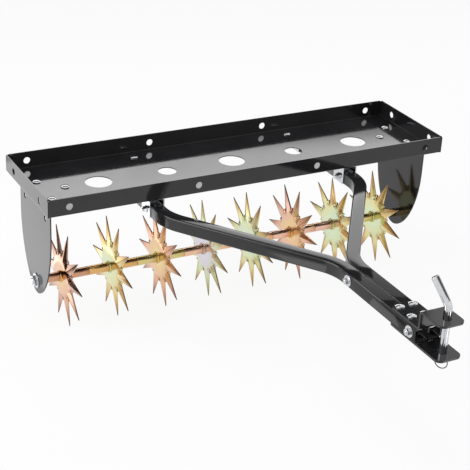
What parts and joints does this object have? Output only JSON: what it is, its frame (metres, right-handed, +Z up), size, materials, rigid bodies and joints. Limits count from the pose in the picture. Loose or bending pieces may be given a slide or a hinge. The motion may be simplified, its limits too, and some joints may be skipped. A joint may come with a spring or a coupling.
{
  "type": "tow behind aerator",
  "caption": "Tow behind lawn aerator: a weight tray over a row of spiked stars that turn on one axle, with a two-arm drawbar, clevis hitch and drop pin.",
  "frame": {"origin": "on the ground, under the middle of the whole machine's box", "axes": "+X along the tray and axle, -Y towards the hitch and the towing vehicle, +Z up"},
  "size_m": [1.016, 1.0174, 0.4425],
  "materials": {
    "black_enamel": "gloss",
    "bright_zinc": "bright plated",
    "yellow_zinc": "iridescent yellow passivated zinc"
  },
  "bodies": {
    "frame": {"tray": "black_enamel", "end_plate_left": "black_enamel", "end_plate_right": "black_enamel", "axle_rod": "bright_zinc", "axle_washers": "bright_zinc", "axle_nuts": "bright_zinc", "drawbar_arm_left": "black_enamel", "drawbar_arm_right": "black_enamel", "front_bracket_left": "bright_zinc", "front_bracket_right": "bright_zinc", "rear_angle_left": "bright_zinc", "rear_angle_right": "bright_zinc", "hitch_top_strap": "black_enamel", "hitch_bottom_strap": "black_enamel", "plate_bolts": "bright_zinc", "plate_washers": "bright_zinc", "plate_nuts": "bright_zinc", "bracket_bolts": "bright_zinc", "bracket_nuts": "bright_zinc", "bracket_cross_bolts": "bright_zinc", "bracket_cross_nuts": "bright_zinc", "bracket_cross_washers": "bright_zinc", "rear_bolts": "bright_zinc", "rear_nuts": "bright_zinc", "rear_cross_bolts": "bright_zinc", "rear_cross_nuts": "bright_zinc", "strap_bolts": "bright_zinc", "strap_nuts": "bright_zinc", "joint_bolts": "bright_zinc", "joint_washers": "bright_zinc", "joint_nuts": "bright_zinc"},
    "star_1": {"hub_tube_1": "yellow_zinc", "star_left_half_1": "yellow_zinc", "star_right_half_1": "yellow_zinc"},
    "star_2": {"hub_tube_2": "yellow_zinc", "star_left_half_2": "yellow_zinc", "star_right_half_2": "yellow_zinc"},
    "star_3": {"hub_tube_3": "yellow_zinc", "star_left_half_3": "yellow_zinc", "star_right_half_3": "yellow_zinc"},
    "star_4": {"hub_tube_4": "yellow_zinc", "star_left_half_4": "yellow_zinc", "star_right_half_4": "yellow_zinc"},
    "star_5": {"hub_tube_5": "yellow_zinc", "star_left_half_5": "yellow_zinc", "star_right_half_5": "yellow_zinc"},
    "star_6": {"hub_tube_6": "yellow_zinc", "star_left_half_6": "yellow_zinc", "star_right_half_6": "yellow_zinc"},
    "star_7": {"hub_tube_7": "yellow_zinc", "star_left_half_7": "yellow_zinc", "star_right_half_7": "yellow_zinc"},
    "star_8": {"hub_tube_8": "yellow_zinc", "star_left_half_8": "yellow_zinc", "star_right_half_8": "yellow_zinc"},
    "pin": {"hitch_pin": "bright_zinc"},
    "ring": {"pin_ring": "bright_zinc"}
  },
  "joints": [
    {"name": "star_1_spin", "type": "hinge", "parent": "frame", "child": "star_1", "pos_m": [-0.42525, 0.3732, 0.11816], "axis": [1, 0, 0], "continuous": true},
    {"name": "star_2_spin", "type": "hinge", "parent": "frame", "child": "star_2", "pos_m": [-0.30375, 0.3732, 0.11816], "axis": [1, 0, 0], "continuous": true},
    {"name": "star_3_spin", "type": "hinge", "parent": "frame", "child": "star_3", "pos_m": [-0.18225, 0.3732, 0.11816], "axis": [1, 0, 0], "continuous": true},
    {"name": "star_4_spin", "type": "hinge", "parent": "frame", "child": "star_4", "pos_m": [-0.06075, 0.3732, 0.11816], "axis": [1, 0, 0], "continuous": true},
    {"name": "star_5_spin", "type": "hinge", "parent": "frame", "child": "star_5", "pos_m": [0.06075, 0.3732, 0.11816], "axis": [1, 0, 0], "continuous": true},
    {"name": "star_6_spin", "type": "hinge", "parent": "frame", "child": "star_6", "pos_m": [0.18225, 0.3732, 0.11816], "axis": [1, 0, 0], "continuous": true},
    {"name": "star_7_spin", "type": "hinge", "parent": "frame", "child": "star_7", "pos_m": [0.30375, 0.3732, 0.11816], "axis": [1, 0, 0], "continuous": true},
    {"name": "star_8_spin", "type": "hinge", "parent": "frame", "child": "star_8", "pos_m": [0.42525, 0.3732, 0.11816], "axis": [1, 0, 0], "continuous": true},
    {"name": "pin_turn", "type": "hinge", "parent": "frame", "child": "pin", "pos_m": [0, -0.4827, 0.33666], "axis": [0, 0, 1], "continuous": true},
    {"name": "ring_swing", "type": "hinge", "parent": "pin", "child": "ring", "pos_m": [0, -0.4827, 0.28066], "axis": [0.5, -0.866, 0], "range_deg": [-80, 80]}
  ]
}
